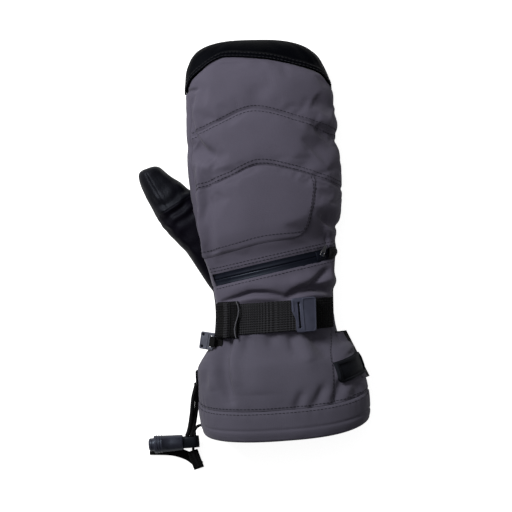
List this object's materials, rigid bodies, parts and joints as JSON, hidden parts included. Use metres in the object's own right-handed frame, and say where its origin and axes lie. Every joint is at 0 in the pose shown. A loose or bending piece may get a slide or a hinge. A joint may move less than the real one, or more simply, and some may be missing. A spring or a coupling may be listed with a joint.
{
  "type": "ski mitten",
  "caption": "Padded right-hand ski mitten with a leather palm, thumb and fingertip cap, a zipped back pocket, a buckled wrist strap and a flared cuff closed by a drawcord.",
  "frame": {"origin": "on the flat outside of the palm, where the mitten rests, at the middle of the hand", "axes": "+Y from the wrist to the fingertips, -X towards the thumb, +Z out of the back of the hand"},
  "size_m": [0.1802, 0.3426, 0.074],
  "materials": {
    "softshell": "matt grey-purple softshell cloth",
    "leather": "black grained leather with a soft sheen",
    "insulation": "white polyester padding",
    "membrane": "thin waterproof film",
    "fleece": "dark brushed fleece",
    "webbing": "black woven webbing",
    "laminate": "glossy black laminate",
    "buckle": "satin grey-blue plastic",
    "clip": "satin grey plastic",
    "rubber": "black moulded rubber",
    "cord": "black braided cord and tape",
    "lock": "black moulded plastic",
    "metal": "satin grey metal"
  },
  "bodies": {
    "hand": {"finger_back_panel": "softshell", "knuckle_back_panel": "softshell", "hand_back_panel": "softshell", "outer_side_panel": "softshell", "wrist_back_panel": "softshell", "inner_side_gusset": "softshell", "gauntlet_back_panel": "softshell", "gauntlet_side_panel": "softshell", "gauntlet_palm_panel": "softshell", "hem_band": "softshell", "fingertip_cap": "leather", "palm_panel": "leather", "thumb_base_shell": "leather", "tether_patch": "leather", "back_insulation": "insulation", "palm_insulation": "insulation", "membrane": "membrane", "pocket_bag": "membrane", "hand_lining": "fleece", "gauntlet_lining": "fleece", "thumb_base_lining": "fleece", "wrist_elastic": "webbing", "zip_end_tab": "webbing", "strap_cover": "webbing", "wrist_strap": "webbing", "strap_tail": "webbing", "buckle_loop": "webbing", "right_strap": "webbing", "clip_tape": "webbing", "cuff_edge_tape": "webbing", "zip_tape_upper": "laminate", "zip_tape_lower": "laminate", "zip_teeth_upper": "laminate", "zip_teeth_lower": "laminate", "cuff_label": "rubber", "hem_drawcord": "cord", "drawcord_strand_a": "cord", "drawcord_strand_b": "cord", "tether_leg_a": "cord", "tether_leg_b": "cord", "pull_tab": "cord", "pull_tail": "cord", "lock_barrel": "lock", "cord_eyelet_a": "metal", "cord_eyelet_b": "metal", "lock_spring": "metal"},
    "thumb": {"thumb_tip_shell": "leather", "thumb_tip_lining": "fleece"},
    "slider": {"zip_slider": "metal"},
    "zip_pull": {"zip_pull": "metal"},
    "buckle": {"ladder_buckle": "buckle", "strap_loop": "webbing"},
    "pair_clip": {"pair_clip": "clip"},
    "plunger": {"lock_plunger": "lock"}
  },
  "joints": [
    {"name": "thumb_bend", "type": "hinge", "parent": "hand", "child": "thumb", "pos_m": [-0.07515, 0.01739, 0.012], "axis": [0, 0, -1], "range_deg": [-10, 15]},
    {"name": "zip_travel", "type": "hinge", "parent": "hand", "child": "slider", "pos_m": [0.0046, -0.0419, -0.02482], "axis": [0.1513, -0.9885, 0], "range_deg": [0, 60]},
    {"name": "zip_pull_flip", "type": "hinge", "parent": "slider", "child": "zip_pull", "pos_m": [0.04454, -0.03579, 0.04515], "axis": [0.753, -0.535, -0.383], "range_deg": [0, 150]},
    {"name": "buckle_tilt", "type": "hinge", "parent": "hand", "child": "buckle", "pos_m": [0.03321, -0.081, 0.0535], "axis": [0, 1, 0], "range_deg": [0, 35]},
    {"name": "clip_flap", "type": "hinge", "parent": "hand", "child": "pair_clip", "pos_m": [-0.04716, -0.0995, 0.04304], "axis": [0.2164, 0.9763, 0], "range_deg": [-10, 60]},
    {"name": "plunger_press", "type": "slide", "parent": "hand", "child": "plunger", "axis": [1, 0, 0], "range_m": [0, 0.0035], "stiffness_N_per_m": 150, "springref_m": -0.0005, "deforming": ["lock_spring"]}
  ]
}
